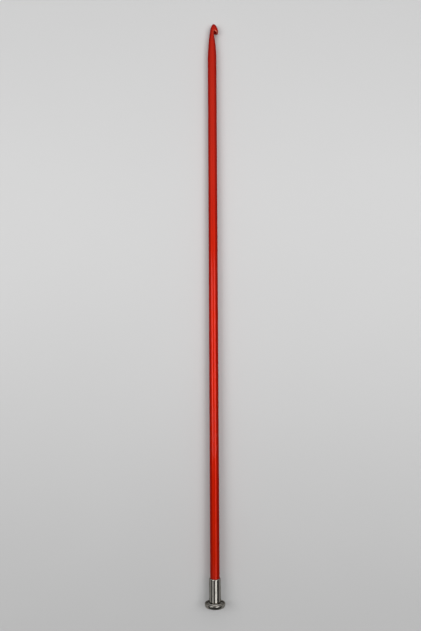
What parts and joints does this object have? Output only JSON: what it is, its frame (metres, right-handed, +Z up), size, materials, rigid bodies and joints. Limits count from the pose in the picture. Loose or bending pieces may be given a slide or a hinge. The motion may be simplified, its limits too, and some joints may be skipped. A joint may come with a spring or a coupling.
{
  "type": "tunisian crochet hook",
  "caption": "Long slim metal crochet hook for Tunisian work, with a barbed head, a tapered neck, and a plated end cap whose flange keeps the row of stitches on the shaft.",
  "frame": {"origin": "on the surface that the hook lies on, under the middle of the hook's box", "axes": "+Y runs along the hook towards the head, +X is the side that the throat opens to, +Z is up. The axis leans 0.546 degrees down towards the head, because the cap's rim and the head end of the shaft both lie on the surface."},
  "size_m": [0.0118, 0.3556, 0.0118],
  "materials": {
    "anodised_red": "satin red anodised aluminium with fine lengthwise drawing lines",
    "nickel_plate": "polished nickel plate with light handling scratches"
  },
  "bodies": {
    "root": {"hook_rod": "anodised_red", "end_sleeve": "nickel_plate", "end_disc": "nickel_plate"}
  },
  "joints": []
}
